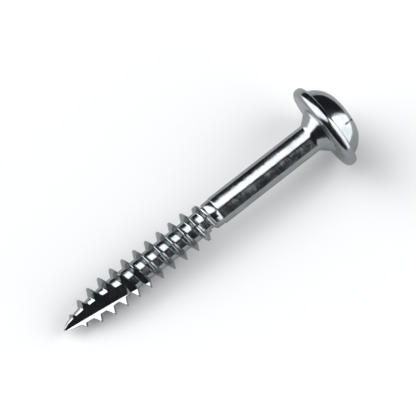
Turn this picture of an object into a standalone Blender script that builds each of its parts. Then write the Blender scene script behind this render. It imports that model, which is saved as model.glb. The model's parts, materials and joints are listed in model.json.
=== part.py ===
"""Pocket-hole wood screw, No. 8 x 38 mm, lying on its side: one cold-headed, thread-rolled piece of
zinc-plated steel, with a domed washer head, a flared neck, a plain shank, a single-start right-hand
thread and a self-drilling point that is slotted by one V-flute.

The screw is designed standing on its point, with its axis on local Z, and is then laid down. Its axis
lies in the XZ plane with the point towards -X. It rests on the rim of the head and on the crest of the
thread, so the head end is the higher one.
"""

import math

import bmesh
import bpy
from mathutils import Matrix, Vector

MM = 0.001  # every dimension below is in millimetres and is scaled by this

# Lengths along the axis, from the point.
UNDER_HEAD = 38.1  # nominal length, point to bearing face
SHANK_START = 22.6  # the plain shank begins here, with a small step
COLLAR_START = 21.45  # short unthreaded collar between the thread and the shank
COLLAR_FOOT = 0.35  # the root starts to widen this far before the collar
COLLAR_LEAD = 0.10  # and is the collar's size this far into it
SHANK_STEP = 0.06  # length of the step from the collar to the shank

# Radii.
ROOT_RADIUS = 1.51
COLLAR_RADIUS = 1.71
SHANK_RADIUS = 1.81
NECK_RADIUS = 3.21  # where the neck meets the bearing face
FLANGE_RADIUS = 5.50

# Point: distance from the tip and radius of the bare core.
POINT = ((0.0, 0.0), (0.25, 0.24), (0.8, 0.52), (2.0, 0.84), (3.1, 1.05), (4.4, 1.25), (6.0, 1.42))
CORE_FULL = 7.5  # the core reaches its root radius here

# Neck: height below the bearing face and growth over the shank's radius.
NECK = ((2.1, 0.0), (1.7, 0.04), (1.4, 0.17), (1.06, 0.57), (0.73, 1.0), (0.5, 1.22), (0.22, 1.36))

# Head, as heights over the bearing face.
FLANGE_EDGE_LOW = 0.36  # rounding of the rim's lower edge
FLANGE_EDGE_HIGH = 0.30  # rounding of its upper edge
FLANGE_EDGE_HIGH_ARC = math.radians(75)  # the upper edge stops short of level and slopes up to the dome
FLANGE_TOP = 1.34  # the rim's height at its upper edge
DOME_BASE = 1.56
DOME_ARC_RADIUS = 3.40
DOME_ARC_CENTRE = (1.42, 0.31)  # radius and height of the centre of the dome's arc
EDGE_STEPS = 4
DOME_STEPS = 9

# Thread.
PITCH = 1.745
THREAD_PHASE = math.radians(-30)  # direction of the crest, carried down to the tip
CREST_HALF_WIDTH = 0.045
FLANK_ROOT_HALF_WIDTH = 0.46
THREAD_HEIGHT = 0.90
LOWEST_THREAD = 0.06  # the ridge never gets lower than this, so that its ends stay solid
SUNK = 0.12  # how far the ridge's foot is sunk into the core
# Distance from the tip and radius of the crest there.
CREST = ((0.9, 0.60), (1.6, 0.98), (3.5, 1.86), (5.3, 2.28), (6.8, 2.41), (18.9, 2.41), (19.8, 2.27),
         (20.8, 2.05), (21.6, 1.88), (22.3, 1.80))

# Flute: a straight V-groove that leaves the core where its floor rises through the root radius.
FLUTE_FLOOR = ((-0.6, -0.02), (9.7, 1.50))  # distance from the tip and radius, at its two ends
FLUTE_SIDE = math.radians(58)  # direction of its floor from the axis
FLUTE_WALLS = (math.radians(-40), math.radians(16))  # directions of its two walls
FLUTE_REACH = 6.0

# Square drive socket, No. 2.
SOCKET_WIDTH = 2.83
SOCKET_FLOOR_WIDTH = 2.70
SOCKET_DEPTH = 2.5
SOCKET_CONE_DEPTH = 0.45
SOCKET_TURN = math.radians(45)

# One short straight tick, cut across the dome beside the socket.
TICK_WIDTH = 0.15
TICK_LENGTH = 2.3
TICK_OFFSET = 1.2
TICK_MIDDLE = (2.85, 3.33)  # distance from the axis, and height over the bearing face
TICK_DEPTH = 0.20
TICK_SLOPE = math.radians(44)

# How it lies.
STEPS = 36  # sides of every turned surface; the thread has as many points in a turn
LIES_ON = math.radians(165)  # local direction that faces the ground, the middle of one side
FAR_CREST = 5.9  # distance from the tip of the crest that it rests on
FAR_CREST_RADIUS = 2.34


def interpolate(table, where):
    """Straight-line value of a table of (place, value) rows."""
    rows = list(table)
    if where <= rows[0][0]:
        return rows[0][1]
    for (x0, y0), (x1, y1) in zip(rows, rows[1:]):
        if where <= x1:
            return y0 + (y1 - y0) * (where - x0) / (x1 - x0)
    return rows[-1][1]


def clear_scene():
    for obj in list(bpy.data.objects):
        bpy.data.objects.remove(obj)


def new_collection(name):
    collection = bpy.data.collections.new(name)
    bpy.context.scene.collection.children.link(collection)
    return collection


def core_outline():
    """(radius, height) of the core and the point, from the tip up to the shank."""
    outline = [(radius, height) for height, radius in POINT]
    outline += [(ROOT_RADIUS, CORE_FULL), (ROOT_RADIUS, 0.5 * (CORE_FULL + COLLAR_START))]
    outline += [(ROOT_RADIUS, COLLAR_START - COLLAR_FOOT), (COLLAR_RADIUS, COLLAR_START + COLLAR_LEAD)]
    outline += [(COLLAR_RADIUS, SHANK_START - SHANK_STEP), (SHANK_RADIUS, SHANK_START)]
    return outline


def head_outline():
    """(radius, height) from the foot of the neck to the crown of the dome."""
    outline = [(SHANK_RADIUS + growth, UNDER_HEAD - below) for below, growth in NECK]
    outline.append((NECK_RADIUS, UNDER_HEAD))
    for step in range(EDGE_STEPS + 1):  # lower edge of the rim, from the bearing face to the rim
        turn = 0.5 * math.pi * step / EDGE_STEPS
        outline.append((
            FLANGE_RADIUS - FLANGE_EDGE_LOW * (1 - math.sin(turn)),
            UNDER_HEAD + FLANGE_EDGE_LOW * (1 - math.cos(turn)),
        ))
    for step in range(EDGE_STEPS):  # upper edge
        turn = FLANGE_EDGE_HIGH_ARC * step / (EDGE_STEPS - 1)
        outline.append((
            FLANGE_RADIUS - FLANGE_EDGE_HIGH * (1 - math.cos(turn)),
            UNDER_HEAD + FLANGE_TOP - FLANGE_EDGE_HIGH * (1 - math.sin(turn)),
        ))
    centre_radius, centre_height = DOME_ARC_CENTRE
    base = math.asin((DOME_BASE - centre_height) / DOME_ARC_RADIUS)
    for step in range(DOME_STEPS + 1):
        turn = base + (0.5 * math.pi - base) * step / DOME_STEPS
        outline.append((
            centre_radius + DOME_ARC_RADIUS * math.cos(turn),
            UNDER_HEAD + centre_height + DOME_ARC_RADIUS * math.sin(turn),
        ))
    outline.append((0.0, outline[-1][1]))
    return outline


def turned_blank(collection):
    """The whole screw but for its thread, socket, flute and tick, turned about local Z."""
    outline = core_outline() + head_outline()
    outline.reverse()  # a Screw profile at +X runs from top to bottom
    mesh = bpy.data.meshes.new("screw")
    points = [(radius * MM, 0.0, height * MM) for radius, height in outline]
    mesh.from_pydata(points, [(i, i + 1) for i in range(len(points) - 1)], [])
    blank = bpy.data.objects.new("screw", mesh)
    collection.objects.link(blank)
    turn = blank.modifiers.new("turn", "SCREW")
    turn.axis = "Z"
    turn.steps = STEPS
    turn.render_steps = STEPS
    turn.use_merge_vertices = True
    turn.merge_threshold = 1e-6
    return blank


def as_cutter(obj, collection):
    collection.objects.link(obj)
    obj.hide_render = True
    obj.display_type = "WIRE"
    return obj


def thread_ridge(collection):
    """The thread as one swept ridge with a narrow flat crest, thinned to nothing at both ends."""
    section = bpy.data.curves.new("thread_section", "CURVE")
    section.dimensions = "2D"
    side = section.splines.new("POLY")
    corners = (
        (-SUNK, -FLANK_ROOT_HALF_WIDTH), (THREAD_HEIGHT, -CREST_HALF_WIDTH),
        (THREAD_HEIGHT, CREST_HALF_WIDTH), (-SUNK, FLANK_ROOT_HALF_WIDTH),
    )
    side.points.add(len(corners) - 1)
    for point, (out, along) in zip(side.points, corners):
        point.co = (out * MM, along * MM, 0.0, 1.0)
    side.use_cyclic_u = True
    section_object = as_cutter(bpy.data.objects.new("thread_section", section), collection)

    path = bpy.data.curves.new("thread_path", "CURVE")
    path.dimensions = "3D"
    path.twist_mode = "Z_UP"
    path.bevel_mode = "OBJECT"
    path.bevel_object = section_object
    path.use_fill_caps = True
    spline = path.splines.new("POLY")
    core = [(height, radius) for radius, height in core_outline()]
    first = math.ceil((CREST[0][0] / PITCH + THREAD_PHASE / math.tau) * STEPS)
    last = math.floor((CREST[-1][0] / PITCH + THREAD_PHASE / math.tau) * STEPS)
    spline.points.add(last - first)
    for point, count in zip(spline.points, range(first, last + 1)):
        angle = math.tau * count / STEPS
        height = PITCH * (angle - THREAD_PHASE) / math.tau
        root = interpolate(core, height)
        scale = max(interpolate(CREST, height) - root, LOWEST_THREAD) / THREAD_HEIGHT
        point.co = (root * MM * math.cos(angle), root * MM * math.sin(angle), height * MM, 1.0)
        point.radius = scale
    swept = bpy.data.objects.new("thread_path", path)
    collection.objects.link(swept)

    # A curve can't be joined by a Boolean, so its mesh is taken and its loose end caps are welded on.
    graph = bpy.context.evaluated_depsgraph_get()
    mesh = bpy.data.meshes.new_from_object(swept.evaluated_get(graph))
    solid = bmesh.new()
    solid.from_mesh(mesh)
    bmesh.ops.remove_doubles(solid, verts=solid.verts, dist=1e-7)
    bmesh.ops.recalc_face_normals(solid, faces=solid.faces)
    solid.to_mesh(mesh)
    solid.free()
    bpy.data.objects.remove(swept)
    return as_cutter(bpy.data.objects.new("thread_ridge", mesh), collection)


def flute_cutter(collection):
    """A three-sided prism: its sharp edge is the floor of the flute, and its sides are the walls."""
    (low, low_radius), (high, high_radius) = FLUTE_FLOOR
    outward = Vector((math.cos(FLUTE_SIDE), math.sin(FLUTE_SIDE), 0.0))
    start = outward * low_radius + Vector((0, 0, low))
    end = outward * high_radius + Vector((0, 0, high))
    run = (end - start).normalized()
    end += run * FLUTE_REACH
    solid = bmesh.new()
    for floor in (start, end):
        ring = [solid.verts.new(floor * MM)]
        for wall in FLUTE_WALLS:
            side = Vector((math.cos(wall), math.sin(wall), 0.0)) * FLUTE_REACH
            ring.append(solid.verts.new((floor + side) * MM))
        bmesh.ops.contextual_create(solid, geom=ring)
    bmesh.ops.bridge_loops(solid, edges=solid.edges[:])
    bmesh.ops.recalc_face_normals(solid, faces=solid.faces)
    mesh = bpy.data.meshes.new("flute_cutter")
    solid.to_mesh(mesh)
    solid.free()
    return as_cutter(bpy.data.objects.new("flute_cutter", mesh), collection)


def socket_cutter(collection):
    """A slightly tapered square prism that ends in a shallow four-sided point."""
    solid = bmesh.new()
    corner = math.sqrt(0.5)  # radius of a square's corner, for a side of 1
    above = 1.0  # the cutter stands this far out of the crown
    crown = UNDER_HEAD + DOME_ARC_CENTRE[1] + DOME_ARC_RADIUS
    floor = crown - SOCKET_DEPTH
    taper = (SOCKET_WIDTH - SOCKET_FLOOR_WIDTH) / SOCKET_DEPTH
    made = bmesh.ops.create_cone(
        solid, cap_ends=True, segments=4,
        radius1=SOCKET_FLOOR_WIDTH * corner * MM,
        radius2=(SOCKET_WIDTH + taper * above) * corner * MM,
        depth=(SOCKET_DEPTH + above) * MM,
    )
    middle = floor + 0.5 * (SOCKET_DEPTH + above)
    bmesh.ops.translate(solid, verts=made["verts"], vec=(0, 0, middle * MM))
    low_face = min(solid.faces, key=lambda face: face.calc_center_median().z)
    tip = bmesh.ops.poke(solid, faces=[low_face])
    bmesh.ops.translate(solid, verts=tip["verts"], vec=(0, 0, -SOCKET_CONE_DEPTH * MM))
    bmesh.ops.rotate(solid, verts=solid.verts, matrix=Matrix.Rotation(SOCKET_TURN, 3, "Z"))
    mesh = bpy.data.meshes.new("socket_cutter")
    solid.to_mesh(mesh)
    solid.free()
    return as_cutter(bpy.data.objects.new("socket_cutter", mesh), collection)


def tick_cutter(collection):
    """A thin blade whose lower edge runs just under the dome's surface."""
    solid = bmesh.new()
    bmesh.ops.create_cube(solid, size=1.0)
    tall = 1.0  # any height that reaches out of the dome
    bmesh.ops.scale(solid, verts=solid.verts, vec=(TICK_LENGTH * MM, TICK_WIDTH * MM, tall * MM))
    bmesh.ops.translate(solid, verts=solid.verts, vec=(0, 0, (0.5 * tall - TICK_DEPTH) * MM))
    mesh = bpy.data.meshes.new("tick_cutter")
    solid.to_mesh(mesh)
    solid.free()
    cutter = as_cutter(bpy.data.objects.new("tick_cutter", mesh), collection)
    across, height = TICK_MIDDLE
    cutter.location = (across * MM, TICK_OFFSET * MM, (UNDER_HEAD + height) * MM)
    cutter.rotation_euler = (0.0, TICK_SLOPE, 0.0)
    return cutter


def combine(target, other, operation):
    step = target.modifiers.new(other.name, "BOOLEAN")
    step.operation = operation
    step.solver = "EXACT"
    step.object = other


def zinc_plated_steel():
    material = bpy.data.materials.new("zinc_plated_steel")
    material.use_nodes = True
    shader = material.node_tree.nodes["Principled BSDF"]
    shader.inputs["Base Color"].default_value = (0.72, 0.75, 0.77, 1.0)
    shader.inputs["Metallic"].default_value = 1.0
    shader.inputs["Roughness"].default_value = 0.25
    return material


def lay_down(holder, screw):
    """Turns the standing screw onto its side, then drops it on the ground and centres it."""
    contact = UNDER_HEAD + FLANGE_EDGE_LOW
    lean = math.asin((FLANGE_RADIUS - FAR_CREST_RADIUS) / (contact - FAR_CREST))
    holder.rotation_mode = "QUATERNION"
    turned = Matrix.Rotation(0.5 * math.pi - lean, 4, "Y") @ Matrix.Rotation(-LIES_ON, 4, "Z")
    holder.rotation_quaternion = turned.to_quaternion()
    bpy.context.view_layer.update()
    graph = bpy.context.evaluated_depsgraph_get()
    evaluated = screw.evaluated_get(graph)
    mesh = evaluated.to_mesh()
    corners = [evaluated.matrix_world @ vertex.co for vertex in mesh.vertices]
    evaluated.to_mesh_clear()
    low = Vector(min(corner[axis] for corner in corners) for axis in range(3))
    high = Vector(max(corner[axis] for corner in corners) for axis in range(3))
    middle = 0.5 * (low + high)
    holder.location = (-middle.x, -middle.y, -low.z)
    bpy.context.view_layer.update()


def main():
    clear_scene()
    parts = new_collection("wood_screw")
    cutters = new_collection("cutters")
    screw = turned_blank(parts)
    combine(screw, thread_ridge(cutters), "UNION")
    for cutter in (flute_cutter(cutters), socket_cutter(cutters), tick_cutter(cutters)):
        combine(screw, cutter, "DIFFERENCE")
    screw.data.materials.append(zinc_plated_steel())

    holder = bpy.data.objects.new("screw_axis", None)
    parts.objects.link(holder)
    for obj in list(parts.objects) + list(cutters.objects):
        if obj is not holder:
            obj.parent = holder
    lay_down(holder, screw)


main()
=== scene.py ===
"""The looks of the pocket-hole wood screw: one fine mesh of bright zinc-plated steel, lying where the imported
model lies, on a pale floor under soft studio light.

The screw is made standing on its point, with its axis on local Z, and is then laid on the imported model:
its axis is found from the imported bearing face, which gives the direction and one point of the plane that
the head pulls down on. Lengths of the screw are in millimetres until it is laid down.
"""

import json
import math

import bmesh
import bpy
import numpy as np
from mathutils import Matrix, Vector

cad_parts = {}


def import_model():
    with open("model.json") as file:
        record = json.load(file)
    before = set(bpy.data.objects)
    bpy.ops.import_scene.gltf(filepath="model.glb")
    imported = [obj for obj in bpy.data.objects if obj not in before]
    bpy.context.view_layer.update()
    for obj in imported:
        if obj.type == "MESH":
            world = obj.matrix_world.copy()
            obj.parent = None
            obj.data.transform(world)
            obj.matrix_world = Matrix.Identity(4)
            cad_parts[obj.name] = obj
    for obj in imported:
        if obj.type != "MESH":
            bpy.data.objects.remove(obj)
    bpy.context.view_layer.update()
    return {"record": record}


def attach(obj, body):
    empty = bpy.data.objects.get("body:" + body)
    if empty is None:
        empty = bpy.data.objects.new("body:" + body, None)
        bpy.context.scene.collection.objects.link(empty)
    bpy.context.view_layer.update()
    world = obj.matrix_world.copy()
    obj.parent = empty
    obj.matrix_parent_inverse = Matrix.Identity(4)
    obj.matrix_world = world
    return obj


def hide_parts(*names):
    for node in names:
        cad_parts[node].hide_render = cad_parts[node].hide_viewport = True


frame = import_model()

MM = 0.001

# ---------------------------------------------------------------------------------------------------
# The screw's dimensions: lengths along the axis from the point, and radii. They are the CAD model's, apart
# from a few that differ by up to about 0.2 mm, the flute, which is wider and shallower here, and the mark on
# the dome, which lies about 0.5 mm further out.

UNDER_HEAD = 38.1
SHANK_START = 22.72
COLLAR_START = 21.55
COLLAR_BULGE = 0.015  # the collar grows by this towards the shank
ROOT_RADIUS = 1.51
COLLAR_RADIUS = 1.71
SHANK_RADIUS = 1.81
NECK_RADIUS = 3.03
FLANGE_RADIUS = 5.50

# Tables along the axis: (place, core radius) for the point, and (distance below the bearing face, growth over
# the shank's radius) for the neck.
POINT = ((0.0, 0.0), (0.05, 0.09), (0.25, 0.24), (0.8, 0.52), (2.0, 0.84), (3.1, 1.05), (4.4, 1.25),
         (6.0, 1.42), (7.5, ROOT_RADIUS), (60.0, ROOT_RADIUS))
NECK = ((1.8, 0.0), (1.62, 0.006), (1.46, 0.045), (1.3, 0.15), (1.0, 0.41), (0.73, 0.65), (0.47, 0.88),
        (0.25, 1.07), (0.10, 1.19))

FLANGE_EDGE_LOW = 0.62
FLANGE_EDGE_HIGH = 0.52
FLANGE_TOP = 1.34
FLANGE_EDGE_TURN = 74  # degrees of arc on the upper edge
DOME_BASE = 1.42
DOME_ARC_RADIUS = 3.40
DOME_ARC_CENTRE = (1.42, 0.31)
CROWN = UNDER_HEAD + DOME_ARC_CENTRE[1] + DOME_ARC_RADIUS

BLANK_OVERLAP = 2.4  # the shank's stub reaches this far into the threaded blank
BLANK_OVERLAP_RADIUS = 1.30
SHANK_ROWS = (0.08, 1.0, 3.0, 5.0, 7.0, 9.0, 11.0, 12.6)  # rings along the plain shank, from its start

PITCH = 1.745
THREAD_PHASE = math.radians(-66)
CREST_HALF_WIDTH = 0.045
FLANK_SLOPE = 2.17  # fall in radius for each millimetre along the axis
ROOT_FILLET = 0.10
FADE_START = 19.3  # from here the crest becomes flat-topped and seamed, over the next FADE_LENGTH
FADE_LENGTH = 1.0
FADED_CREST_GAIN = 0.15  # added to the crest's half width
SEAM_DEPTH = 0.13
SEAM_HALF_WIDTH = 0.09
CREST = ((0.0, -0.2), (0.5, 0.2), (0.9, 0.5), (1.6, 0.98), (3.5, 1.86), (5.3, 2.28), (6.8, 2.41), (19.0, 2.41),
         (19.9, 2.27), (20.9, 2.06), (21.7, 1.90), (22.5, 1.70))
THREAD_END = 22.0  # the threaded blank ends here, inside the collar
HUB_DEPTH = 1.0  # its far end is a shallow cone this deep

FLUTE_FLOOR = ((-0.6, 0.10), (9.7, 1.70))  # place and radius at its two ends
FLUTE_SIDE = math.radians(58)  # direction of its floor from the axis
FLUTE_WALLS = (math.radians(-62), math.radians(65))  # directions of its two walls
FLUTE_OVERRUN = 1.15  # the cutter runs past the far end by this factor
FLUTE_BOW = 0.10
FLUTE_REACH = 6.0

SOCKET_WIDTH = 2.83
SOCKET_FLOOR_WIDTH = 2.70
SOCKET_DEPTH = 2.5
SOCKET_CONE_DEPTH = 0.45
SOCKET_CORNER = 0.16
SOCKET_TURN = math.radians(45)
CUT_ABOVE = 1.0  # cutters stand out of the surface by about this much
MOUTH_DEPTH = 0.16  # the mouth's rolled edge rises by this while each side moves out by MOUTH_WIDTH
MOUTH_WIDTH = 0.20
MOUTH_DROP = 0.21  # it starts this and MOUTH_DEPTH below the crown
MOUTH_CUTTER = 6  # its cutter's height, in mouth depths

TICK_WIDTH = 0.20
TICK_LENGTH = 2.0
TICK_OFFSET = 1.2
TICK_MIDDLE = (3.30, 3.00)  # distance from the axis, and height over the bearing face
TICK_DEPTH = 0.28
TICK_SLOPE = math.radians(38)

LIES_ON = math.radians(165)  # the screw's own direction that faces the floor
BEARING_POINT_RADIUS = 4.2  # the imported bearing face's point is this far above the axis

# Fineness of the mesh.
TURN_STEPS = 96  # points in a turn of the thread
PITCH_ROWS = 26  # rows of points across one pitch
LEAD_IN_TURNS = 1.6  # turns of the helical grid before the point
LATHE_STEPS = 192
NECK_STEPS = 44
DOME_STEPS = 48
FLUTE_STEPS = 24
WELD = 1e-5
SHARP_ANGLE = math.radians(38)


# ---------------------------------------------------------------------------------------------------
# Geometry

def interpolate(table, where):
    """The value at a place, on straight lines between a table's (place, value) rows."""
    places, values = zip(*table)
    return np.interp(where, places, values)


def smooth(points, steps):
    """A smooth curve through (x, y) points: both coordinates as cubic pieces over the length run."""
    x, y = (np.array(column, float) for column in zip(*points))
    run = np.concatenate([[0.0], np.cumsum(np.hypot(np.diff(x), np.diff(y)))])
    fine = np.linspace(0.0, run[-1], steps)
    return [(float(a), float(b)) for a, b in zip(hermite(run, x, fine), hermite(run, y, fine))]


def hermite(knots, values, where):
    """Monotone cubic interpolation, which never swings past its points."""
    step = np.diff(knots)
    rise = np.diff(values) / step
    slope = np.empty(len(knots))
    slope[0], slope[-1] = rise[0], rise[-1]
    for i in range(1, len(knots) - 1):
        same_way = rise[i - 1] * rise[i] > 0
        slope[i] = 2 * rise[i - 1] * rise[i] / (rise[i - 1] + rise[i]) if same_way else 0.0
    cell = np.clip(np.searchsorted(knots, where) - 1, 0, len(step) - 1)
    t = (where - knots[cell]) / step[cell]
    a, b = values[cell], values[cell + 1]
    return (
        (2 * t ** 3 - 3 * t ** 2 + 1) * a + (3 * t ** 2 - 2 * t ** 3) * b
        + (t ** 3 - 2 * t ** 2 + t) * step[cell] * slope[cell]
        + (t ** 3 - t ** 2) * step[cell] * slope[cell + 1]
    )


def arc(centre_radius, centre_height, radius, first, last, steps):
    """(radius, height) points of an arc, for angles in degrees from the outward direction."""
    turns = [math.radians(first + (last - first) * i / steps) for i in range(steps + 1)]
    return [(centre_radius + radius * math.cos(t), centre_height + radius * math.sin(t)) for t in turns]


def head_outline():
    """(radius, height) from inside the threaded blank up to the crown."""
    stub = THREAD_END - BLANK_OVERLAP
    outline = [(0.0, stub), (BLANK_OVERLAP_RADIUS, stub), (BLANK_OVERLAP_RADIUS, COLLAR_START - 0.25)]
    outline += [(COLLAR_RADIUS - 0.05, COLLAR_START + 0.03), (COLLAR_RADIUS, COLLAR_START + 0.12)]
    outline += [(COLLAR_RADIUS + COLLAR_BULGE, SHANK_START - 0.20), (COLLAR_RADIUS - 0.01, SHANK_START - 0.09)]
    outline += [(SHANK_RADIUS - 0.03, SHANK_START - 0.03), (SHANK_RADIUS, SHANK_START + 0.02)]
    outline += [(SHANK_RADIUS, SHANK_START + step) for step in SHANK_ROWS]
    neck = [(SHANK_RADIUS + growth, UNDER_HEAD - below) for below, growth in NECK]
    outline += smooth(neck + [(NECK_RADIUS - 0.01, UNDER_HEAD - 0.04)], NECK_STEPS)
    outline += [(NECK_RADIUS + 0.04, UNDER_HEAD), (3.4, UNDER_HEAD), (4.3, UNDER_HEAD)]
    low, high = FLANGE_EDGE_LOW, FLANGE_EDGE_HIGH
    outline += arc(FLANGE_RADIUS - low, UNDER_HEAD + low, low, -90, 0, 12)
    outline += arc(FLANGE_RADIUS - high, UNDER_HEAD + FLANGE_TOP - high, high, 0, FLANGE_EDGE_TURN, 10)
    centre_radius, centre_height = DOME_ARC_CENTRE
    base = math.degrees(math.asin((DOME_BASE - centre_height) / DOME_ARC_RADIUS))
    dome = arc(centre_radius, UNDER_HEAD + centre_height, DOME_ARC_RADIUS, base, 90, DOME_STEPS)
    groove = (dome[0][0] + 0.07, dome[0][1] - 0.03)  # the rim meets the dome in a small fillet
    return outline + [groove] + dome + [(0.7, CROWN), (0.0, CROWN)]


def turned(name, outline, steps):
    """A closed mesh turned about Z; the outline starts and ends on the axis and runs upwards."""
    solid = bmesh.new()
    rings = []
    for radius, height in outline:
        if radius < 1e-9:
            rings.append([solid.verts.new((0.0, 0.0, height))])
            continue
        angles = [math.tau * i / steps for i in range(steps)]
        rings.append([solid.verts.new((radius * math.cos(a), radius * math.sin(a), height)) for a in angles])
    for lower, upper in zip(rings, rings[1:]):
        for i in range(steps):
            j = (i + 1) % steps
            corners = [(lower, i), (lower, j), (upper, j), (upper, i)]
            distinct = list(dict.fromkeys(ring[k % len(ring)] for ring, k in corners))
            if len(distinct) > 2:
                solid.faces.new(distinct)
    return finished(name, solid)


def finished(name, solid):
    """The bmesh as an object in the scene, with its faces pointing out."""
    bmesh.ops.recalc_face_normals(solid, faces=solid.faces)
    mesh = bpy.data.meshes.new(name)
    solid.to_mesh(mesh)
    solid.free()
    obj = bpy.data.objects.new(name, mesh)
    bpy.context.scene.collection.objects.link(obj)
    return obj


def thread_radius(height, along):
    """Radius of the threaded surface: height is the place on the axis, along the distance from a crest."""
    core = interpolate(POINT, np.clip(height, 0.0, None))
    crest = interpolate(CREST, height - along)
    fading = np.clip((height - along - FADE_START) / FADE_LENGTH, 0.0, 1.0)
    half = CREST_HALF_WIDTH + FADED_CREST_GAIN * fading
    seam = SEAM_DEPTH * fading * np.clip(1.0 - np.abs(along) / SEAM_HALF_WIDTH, 0.0, 1.0)
    flank = crest - seam - FLANK_SLOPE * np.clip(np.abs(along) - half, 0.0, None)
    mix = np.clip(0.5 + 0.5 * (flank - core) / ROOT_FILLET, 0.0, 1.0)
    radius = core + (flank - core) * mix + ROOT_FILLET * mix * (1.0 - mix)
    return np.where(height <= 0.0, 0.0, radius)


def threaded_blank():
    """Point, core and thread as one helical grid: its rows run along the helix, so the crest is clean."""
    spread = np.linspace(-0.5, 0.5, PITCH_ROWS + 1)
    crowded = np.sign(spread) * (2 * np.abs(spread)) ** 2.2 * 0.5  # rows gather at the crest
    along = PITCH * (0.55 * spread + 0.45 * crowded)
    first = -int(LEAD_IN_TURNS * TURN_STEPS)
    last = int((THREAD_END / PITCH - 0.5) * TURN_STEPS)
    solid = bmesh.new()
    grid = {}
    for column in range(first, last + 1):
        angle = math.tau * column / TURN_STEPS
        crest_at = PITCH * (angle - THREAD_PHASE) / math.tau
        for row in range(PITCH_ROWS):
            place = crest_at + along[row]
            radius = float(thread_radius(place, along[row]))
            height = max(place, 0.0)
            grid[column, row] = solid.verts.new((radius * math.cos(angle), radius * math.sin(angle), height))
    for column in range(last - TURN_STEPS + 1, last + 1):  # the far edge of the last turn
        angle = math.tau * column / TURN_STEPS
        place = PITCH * (angle - THREAD_PHASE) / math.tau + along[PITCH_ROWS]
        radius = float(thread_radius(place, along[PITCH_ROWS]))
        grid[column, PITCH_ROWS] = solid.verts.new((radius * math.cos(angle), radius * math.sin(angle), place))

    def corner(column, row):
        if row == PITCH_ROWS and column + TURN_STEPS <= last:
            return grid[column + TURN_STEPS, 0]
        return grid[column, row]

    for column in range(first, last):
        after = column + 1
        for row in range(PITCH_ROWS):
            above = row + 1
            solid.faces.new([corner(column, row), corner(after, row), corner(after, above), corner(column, above)])
    rim = [corner(column, PITCH_ROWS) for column in range(last - TURN_STEPS, last + 1)]
    rim += [corner(last, row) for row in range(PITCH_ROWS - 1, 0, -1)]
    hub = solid.verts.new((0.0, 0.0, THREAD_END - HUB_DEPTH))
    for one, other in zip(rim, rim[1:] + rim[:1]):
        solid.faces.new([one, other, hub])
    bmesh.ops.remove_doubles(solid, verts=solid.verts, dist=WELD)
    loose = [vertex for vertex in solid.verts if not vertex.link_faces]
    bmesh.ops.delete(solid, geom=loose, context="VERTS")
    return finished("threaded_blank", solid)


def flute_cutter():
    """A V-groove whose floor curves up a little towards its far end."""
    (low, low_radius), (high, high_radius) = FLUTE_FLOOR
    outward = Vector((math.cos(FLUTE_SIDE), math.sin(FLUTE_SIDE), 0.0))
    solid = bmesh.new()
    rings = []
    for step in range(FLUTE_STEPS + 1):
        share = FLUTE_OVERRUN * step / FLUTE_STEPS
        radius = low_radius + (high_radius - low_radius) * (share + FLUTE_BOW * share * (share - 1.0))
        floor = outward * radius + Vector((0, 0, low + (high - low) * share))
        ring = [solid.verts.new(floor)]
        for wall in FLUTE_WALLS:
            ring.append(solid.verts.new(floor + Vector((math.cos(wall), math.sin(wall), 0.0)) * FLUTE_REACH))
        rings.append(ring)
    for one, other in zip(rings, rings[1:]):
        for i in range(3):
            j = (i + 1) % 3
            solid.faces.new([one[i], one[j], other[j], other[i]])
    solid.faces.new(rings[0])
    solid.faces.new(rings[-1])
    return finished("flute_cutter", solid)


def square_cone(solid, low_width, high_width, depth):
    """A square frustum about the origin, given by the widths of its ends; returns its vertices."""
    corner = math.sqrt(0.5)
    made = bmesh.ops.create_cone(
        solid, cap_ends=True, segments=4, radius1=low_width * corner, radius2=high_width * corner, depth=depth
    )
    return made["verts"]


def socket_cutter():
    """The square drive socket, with rounded corners and a conical floor."""
    solid = bmesh.new()
    taper = (SOCKET_WIDTH - SOCKET_FLOOR_WIDTH) / SOCKET_DEPTH
    tall = SOCKET_DEPTH + CUT_ABOVE
    verts = square_cone(solid, SOCKET_FLOOR_WIDTH, SOCKET_WIDTH + taper * CUT_ABOVE, tall)
    bmesh.ops.translate(solid, verts=verts, vec=(0, 0, CROWN - SOCKET_DEPTH + 0.5 * tall))
    low_face = min(solid.faces, key=lambda face: face.calc_center_median().z)
    tip = bmesh.ops.poke(solid, faces=[low_face])
    bmesh.ops.translate(solid, verts=tip["verts"], vec=(0, 0, -SOCKET_CONE_DEPTH))
    upright = [
        edge for edge in solid.edges
        if abs(edge.verts[0].co.z - edge.verts[1].co.z) > SOCKET_DEPTH
    ]
    bmesh.ops.bevel(solid, geom=upright, offset=SOCKET_CORNER, segments=4, profile=0.5, affect="EDGES")
    bmesh.ops.rotate(solid, verts=solid.verts, matrix=Matrix.Rotation(SOCKET_TURN, 3, "Z"))
    return finished("socket_cutter", solid)


def socket_flare():
    """The soft lead-in where the punch rolled the socket's mouth over."""
    solid = bmesh.new()
    tall = MOUTH_DEPTH * MOUTH_CUTTER
    verts = square_cone(solid, SOCKET_WIDTH - 0.02, SOCKET_WIDTH + 2 * MOUTH_WIDTH * MOUTH_CUTTER, tall)
    bmesh.ops.translate(solid, verts=verts, vec=(0, 0, CROWN - MOUTH_DROP - MOUTH_DEPTH + 0.5 * tall))
    bmesh.ops.rotate(solid, verts=solid.verts, matrix=Matrix.Rotation(SOCKET_TURN, 3, "Z"))
    return finished("socket_flare", solid)


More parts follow.
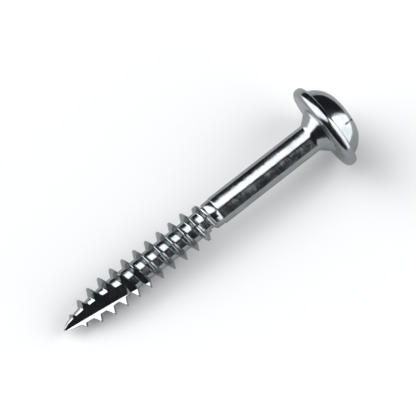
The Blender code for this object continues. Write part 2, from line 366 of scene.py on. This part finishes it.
def tick_cutter():
    """The shallow straight mark on the dome."""
    solid = bmesh.new()
    bmesh.ops.create_cube(solid, size=1.0)
    bmesh.ops.scale(solid, verts=solid.verts, vec=(TICK_LENGTH, TICK_WIDTH, CUT_ABOVE))
    bmesh.ops.translate(solid, verts=solid.verts, vec=(0, 0, 0.5 * CUT_ABOVE - TICK_DEPTH))
    across, height = TICK_MIDDLE
    bmesh.ops.rotate(solid, verts=solid.verts, matrix=Matrix.Rotation(TICK_SLOPE, 3, "Y"))
    bmesh.ops.translate(solid, verts=solid.verts, vec=(across, TICK_OFFSET, UNDER_HEAD + height))
    return finished("tick_cutter", solid)


def combine(target, other, operation):
    """Applies one Boolean and throws its tool away."""
    step = target.modifiers.new(other.name, "BOOLEAN")
    step.operation = operation
    step.solver = "EXACT"
    step.object = other
    bpy.context.view_layer.update()
    graph = bpy.context.evaluated_depsgraph_get()
    mesh = bpy.data.meshes.new_from_object(target.evaluated_get(graph))
    target.modifiers.clear()
    target.data = mesh
    bpy.data.objects.remove(other)


def screw_mesh():
    """The whole screw, standing on its point, in millimetres."""
    screw = turned("zinc_screw", head_outline(), LATHE_STEPS)
    combine(screw, threaded_blank(), "UNION")
    for cutter in (flute_cutter(), socket_cutter(), socket_flare(), tick_cutter()):
        combine(screw, cutter, "DIFFERENCE")
    screw.data.shade_smooth()
    screw.data.set_sharp_from_angle(angle=SHARP_ANGLE)
    return screw


def lay_on_model(screw):
    """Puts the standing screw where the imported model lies, and returns the place of its point in metres."""
    face = next(mount for mount in frame["record"]["mounts"] if mount["name"] == "bearing_face")
    axis = -Vector(face["axis"]).normalized()
    down = Vector((axis.z, 0.0, -axis.x))
    side = axis.cross(down)
    tip = Vector(face["pos_m"]) + down * BEARING_POINT_RADIUS * MM - axis * UNDER_HEAD * MM
    turn = Matrix((down, side, axis)).transposed().to_4x4() @ Matrix.Rotation(-LIES_ON, 4, "Z")
    screw.data.transform(Matrix.Translation(tip) @ turn @ Matrix.Scale(MM, 4))
    return tip


# ---------------------------------------------------------------------------------------------------
# Material

def new_material(name):
    material = bpy.data.materials.new(name)
    material.use_nodes = True
    tree = material.node_tree
    return material, tree, tree.nodes["Principled BSDF"]


def noise(tree, vector, scale, detail=3.0, rough=0.55):
    node = tree.nodes.new("ShaderNodeTexNoise")
    node.inputs["Scale"].default_value = scale
    node.inputs["Detail"].default_value = detail
    node.inputs["Roughness"].default_value = rough
    tree.links.new(vector, node.inputs["Vector"])
    return node.outputs["Fac"]


def ramp(tree, value, low, high, first, last):
    node = tree.nodes.new("ShaderNodeMapRange")
    node.inputs["From Min"].default_value = low
    node.inputs["From Max"].default_value = high
    node.inputs["To Min"].default_value = first
    node.inputs["To Max"].default_value = last
    tree.links.new(value, node.inputs["Value"])
    return node.outputs["Result"]


def bump(tree, height, strength, distance):
    node = tree.nodes.new("ShaderNodeBump")
    node.inputs["Strength"].default_value = strength
    node.inputs["Distance"].default_value = distance
    tree.links.new(height, node.inputs["Height"])
    return node


def bright_zinc():
    """Bright zinc plate: cool and nearly mirror-like, with fine ripples and shallow dents."""
    material, tree, shader = new_material("bright_zinc")
    place = tree.nodes.new("ShaderNodeTexCoord").outputs["Object"]
    colour = tree.nodes.new("ShaderNodeMix")
    colour.data_type = "RGBA"
    colour.inputs["A"].default_value = (0.38, 0.41, 0.43, 1.0)
    colour.inputs["B"].default_value = (0.48, 0.50, 0.51, 1.0)
    tree.links.new(ramp(tree, noise(tree, place, 420.0), 0.35, 0.65, 0.0, 1.0), colour.inputs["Factor"])
    tree.links.new(colour.outputs["Result"], shader.inputs["Base Color"])
    shader.inputs["Metallic"].default_value = 1.0
    tree.links.new(ramp(tree, noise(tree, place, 900.0), 0.3, 0.7, 0.10, 0.20), shader.inputs["Roughness"])
    fine = bump(tree, noise(tree, place, 2600.0, 2.0), 0.35, 0.00002)
    dents = bump(tree, noise(tree, place, 700.0, 1.0), 0.5, 0.00004)
    tree.links.new(fine.outputs["Normal"], dents.inputs["Normal"])
    tree.links.new(dents.outputs["Normal"], shader.inputs["Normal"])
    return material


# ---------------------------------------------------------------------------------------------------
# Stage: floor, lights, camera

CAMERA_AZIMUTH = math.radians(-37.95)
CAMERA_ELEVATION = math.radians(72.1)
CAMERA_LENS = 562.5
CAMERA_FROM_TIP = (16.79, 14.25, 756.6)  # millimetres to its right, upwards in its picture, and back

FLOOR_SIDE = 3.0
PAPER_ALBEDO = 0.86
# painted shade: the card's albedo darkens the floor as the metal reflects it, below the paper's own albedo
REFLECTED_FLOOR_SHADE = 0.50
CARD = ((-0.070, -0.060), (0.038, 0.050))  # low and high corners of the card that the metal sees, in metres
CARD_LIFT = 0.00002


def stage_plane(name, low, high, height, material):
    """A level rectangle marked as the stage's, given by its low and high corners."""
    mesh = bpy.data.meshes.new(name)
    corners = [(low[0], low[1]), (high[0], low[1]), (high[0], high[1]), (low[0], high[1])]
    mesh.from_pydata([(x, y, height) for x, y in corners], [], [(0, 1, 2, 3)])
    mesh.materials.append(material)
    plane = bpy.data.objects.new(name, mesh)
    bpy.context.scene.collection.objects.link(plane)
    return plane


def matt(name, albedo):
    """A nearly neutral matt surface."""
    material, tree, shader = new_material(name)
    shader.inputs["Base Color"].default_value = (albedo, albedo, 0.995 * albedo, 1.0)
    shader.inputs["Roughness"].default_value = 0.9
    shader.inputs["Specular IOR Level"].default_value = 0.1
    return material


def floor():
    """White paper. The metal's reflections see a duller card in its place, and past the card's edge the dark room.
    The card's grey is painted shade, so the floor looks darker in the metal than it is lit.
    """
    half = 0.5 * FLOOR_SIDE
    paper = stage_plane("floor", (-half, -half), (half, half), 0.0, matt("white_paper", PAPER_ALBEDO))
    paper.visible_glossy = False
    # painted shade: glossy rays see this darker card instead of the white paper
    card = stage_plane("card", CARD[0], CARD[1], CARD_LIFT, matt("painted_floor_shade", REFLECTED_FLOOR_SHADE))
    card.visible_camera = card.visible_diffuse = card.visible_shadow = card.visible_transmission = False


def edge(tree, direction, normal, level, soft):
    """1 on the side of a straight edge that the normal points to, and 0 beyond it."""
    dot = tree.nodes.new("ShaderNodeVectorMath")
    dot.operation = "DOT_PRODUCT"
    dot.inputs[1].default_value = normal
    tree.links.new(direction, dot.inputs[0])
    step = tree.nodes.new("ShaderNodeMapRange")
    step.interpolation_type = "SMOOTHSTEP"
    step.inputs["From Min"].default_value = level - soft
    step.inputs["From Max"].default_value = level + soft
    tree.links.new(dot.outputs["Value"], step.inputs["Value"])
    return step.outputs["Result"]


def product(tree, factors):
    """All the factors multiplied together."""
    total = factors[0]
    for factor in factors[1:]:
        times = tree.nodes.new("ShaderNodeMath")
        times.operation = "MULTIPLY"
        tree.links.new(total, times.inputs[0])
        tree.links.new(factor, times.inputs[1])
        total = times.outputs["Value"]
    return total


def glow(tree, strength, mask):
    """A softbox's light where the mask is 1."""
    times = tree.nodes.new("ShaderNodeMath")
    times.operation = "MULTIPLY"
    times.inputs[1].default_value = strength
    tree.links.new(mask, times.inputs[0])
    node = tree.nodes.new("ShaderNodeBackground")
    node.inputs["Color"].default_value = LIGHT_COLOUR
    tree.links.new(times.outputs["Value"], node.inputs["Strength"])
    return node.outputs["Background"]


def turned_by_camera(x, y, z):
    """A direction given as right, away and up for the camera's user, in world axes."""
    a = CAMERA_AZIMUTH
    return (x * math.cos(a) - y * math.sin(a), x * math.sin(a) + y * math.cos(a), z)


# Each softbox is a panel whose straight edges are planes through the screw: the normal, in right, away and up
# directions, then how far inside the plane the edge lies and how soft it is.
LEFT_PANEL = (
    ((-0.678, -0.678, 0.286), 0.085, 0.035),
    ((-0.342, 0.940, 0.05), -0.05, 0.08),
    ((-0.994, 0.0, 0.108), 0.0, 0.08),
)
RIGHT_PANEL = (
    ((0.641, -0.764, -0.071), 0.0, 0.03),
    ((0.643, 0.766, 0.0), -0.02, 0.05),
    ((0.940, 0.0, -0.342), 0.0, 0.10),
)
# The bright middle of each, where the lamp is behind the cloth: its direction, and the cosines of its edge.
LEFT_CORE = ((-0.629, 0.229, 0.743), 0.968, 0.028)
RIGHT_CORE = ((0.741, 0.270, 0.616), 0.948, 0.048)
LIGHTS = (
    (LEFT_PANEL, 2.25),
    (LEFT_PANEL + (LEFT_CORE,), 3.3),
    (RIGHT_PANEL, 2.0),
    (RIGHT_PANEL + (RIGHT_CORE,), 1.3),
)
LIGHT_COLOUR = (0.98, 0.99, 1.0, 1.0)
ROOM_COLOUR = (0.020, 0.022, 0.025, 1.0)
STUDIO_COLOUR = (0.96, 0.96, 0.96, 1.0)


def world():
    """The camera sees a pale studio. The metal and the floor see a dark room with a big softbox on each side."""
    made = bpy.data.worlds.new("studio")
    made.use_nodes = True
    tree = made.node_tree
    tree.nodes.clear()
    direction = tree.nodes.new("ShaderNodeTexCoord").outputs["Generated"]
    out = tree.nodes.new("ShaderNodeOutputWorld")
    seen = tree.nodes.new("ShaderNodeBackground")
    seen.inputs["Color"].default_value = STUDIO_COLOUR
    room = tree.nodes.new("ShaderNodeBackground")
    room.inputs["Color"].default_value = ROOM_COLOUR
    total = room.outputs["Background"]
    for panel, strength in LIGHTS:
        edges = [edge(tree, direction, turned_by_camera(*normal), level, soft) for normal, level, soft in panel]
        add = tree.nodes.new("ShaderNodeAddShader")
        tree.links.new(total, add.inputs[0])
        tree.links.new(glow(tree, strength, product(tree, edges)), add.inputs[1])
        total = add.outputs["Shader"]
    mix = tree.nodes.new("ShaderNodeMixShader")
    path = tree.nodes.new("ShaderNodeLightPath")
    tree.links.new(path.outputs["Is Camera Ray"], mix.inputs["Fac"])
    tree.links.new(total, mix.inputs[1])
    tree.links.new(seen.outputs["Background"], mix.inputs[2])
    tree.links.new(mix.outputs["Shader"], out.inputs["Surface"])
    bpy.context.scene.world = made


def camera(tip):
    """A distant camera, placed from the screw's point."""
    data = bpy.data.cameras.new("camera")
    data.sensor_width = 36.0
    data.lens = CAMERA_LENS
    data.clip_start, data.clip_end = 0.01, 20.0
    made = bpy.data.objects.new("camera", data)
    bpy.context.scene.collection.objects.link(made)
    a, e = CAMERA_AZIMUTH, CAMERA_ELEVATION
    back = Vector((math.sin(a) * math.cos(e), -math.cos(a) * math.cos(e), math.sin(e)))
    right = Vector((math.cos(a), math.sin(a), 0.0))
    turn = Matrix((right, back.cross(right), back)).transposed()
    made.location = tip + turn @ Vector(CAMERA_FROM_TIP) * MM
    made.rotation_euler = turn.to_euler()
    bpy.context.scene.camera = made


def main():
    floor()
    world()
    scene = bpy.context.scene
    scene.view_settings.view_transform = "Standard"
    scene.cycles.use_denoising = True
    screw = screw_mesh()
    camera(lay_on_model(screw))
    screw.data.materials.clear()
    screw.data.materials.append(bright_zinc())
    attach(screw, "root")
    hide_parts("screw")


main()
